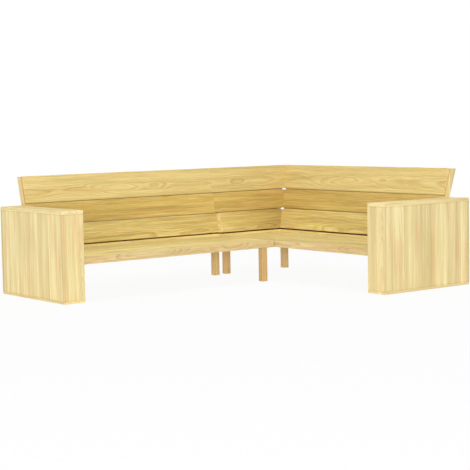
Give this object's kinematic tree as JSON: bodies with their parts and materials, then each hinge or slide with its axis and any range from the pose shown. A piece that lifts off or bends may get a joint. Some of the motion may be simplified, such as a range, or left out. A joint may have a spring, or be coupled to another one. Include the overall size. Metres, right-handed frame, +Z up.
{
  "type": "corner bench",
  "caption": "Low L-shaped corner bench of pale pine boards, with raked plank backrests, slatted seats and box arms, for a patio or porch.",
  "frame": {"origin": "on the floor, at the middle of the sole of the leg that stands in the corner", "axes": "+Z up; the long bench runs from the corner along -X with its back towards +Y; the short bench with the corner seat runs from the corner along -Y with its back towards +X"},
  "size_m": [2.4291, 1.8442, 0.7457],
  "materials": {
    "pine_arm": "planed, unfinished",
    "pine_seat": "planed, unfinished",
    "pine_back": "planed, unfinished",
    "pine_frame": "planed, unfinished",
    "pine_leg": "planed, unfinished",
    "beech_dowel": "fluted hardwood",
    "screw_zinc": "zinc plated",
    "bolt_zinc": "zinc plated"
  },
  "bodies": {
    "root": {"bolts": "bolt_zinc", "corner_bench_back_foot_board": "pine_back", "corner_bench_back_lower_board": "pine_back", "corner_bench_back_middle_board": "pine_back", "corner_bench_back_top_board": "pine_back", "corner_bench_bearers": "pine_frame", "corner_bench_end_rail": "pine_frame", "corner_bench_front_apron": "pine_seat", "corner_bench_front_leg": "pine_leg", "corner_bench_rear_leg": "pine_leg", "corner_bench_rear_rail": "pine_frame", "corner_bench_return_foot_board": "pine_back", "corner_bench_return_lower_board": "pine_back", "corner_bench_return_middle_board": "pine_back", "corner_bench_return_top_board": "pine_back", "corner_bench_seat_plank_1": "pine_seat", "corner_bench_seat_plank_2": "pine_seat", "corner_bench_seat_plank_3": "pine_seat", "corner_bench_seat_plank_4": "pine_seat", "corner_bench_seat_plank_5": "pine_seat", "corner_bench_stiles": "pine_frame", "dowels": "beech_dowel", "left_arm_base_board": "pine_arm", "left_arm_battens": "pine_arm", "left_arm_front_board": "pine_arm", "left_arm_inner_planks": "pine_arm", "left_arm_outer_plank_1": "pine_arm", "left_arm_outer_plank_2": "pine_arm", "left_arm_outer_plank_3": "pine_arm", "left_arm_outer_plank_4": "pine_arm", "left_arm_outer_plank_5": "pine_arm", "left_arm_rear_board": "pine_arm", "left_arm_top_board": "pine_arm", "long_bench_back_foot_board": "pine_back", "long_bench_back_lower_board": "pine_back", "long_bench_back_middle_board": "pine_back", "long_bench_back_top_board": "pine_back", "long_bench_bearers": "pine_frame", "long_bench_front_apron": "pine_seat", "long_bench_front_leg": "pine_leg", "long_bench_rear_leg": "pine_leg", "long_bench_rear_rail": "pine_frame", "long_bench_seat_plank_1": "pine_seat", "long_bench_seat_plank_2": "pine_seat", "long_bench_seat_plank_3": "pine_seat", "long_bench_seat_plank_4": "pine_seat", "long_bench_seat_plank_5": "pine_seat", "long_bench_stiles": "pine_frame", "right_arm_base_board": "pine_arm", "right_arm_battens": "pine_arm", "right_arm_front_board": "pine_arm", "right_arm_inner_planks": "pine_arm", "right_arm_outer_plank_1": "pine_arm", "right_arm_outer_plank_2": "pine_arm", "right_arm_outer_plank_3": "pine_arm", "right_arm_outer_plank_4": "pine_arm", "right_arm_outer_plank_5": "pine_arm", "right_arm_rear_board": "pine_arm", "right_arm_top_board": "pine_arm", "screws": "screw_zinc"}
  },
  "joints": []
}
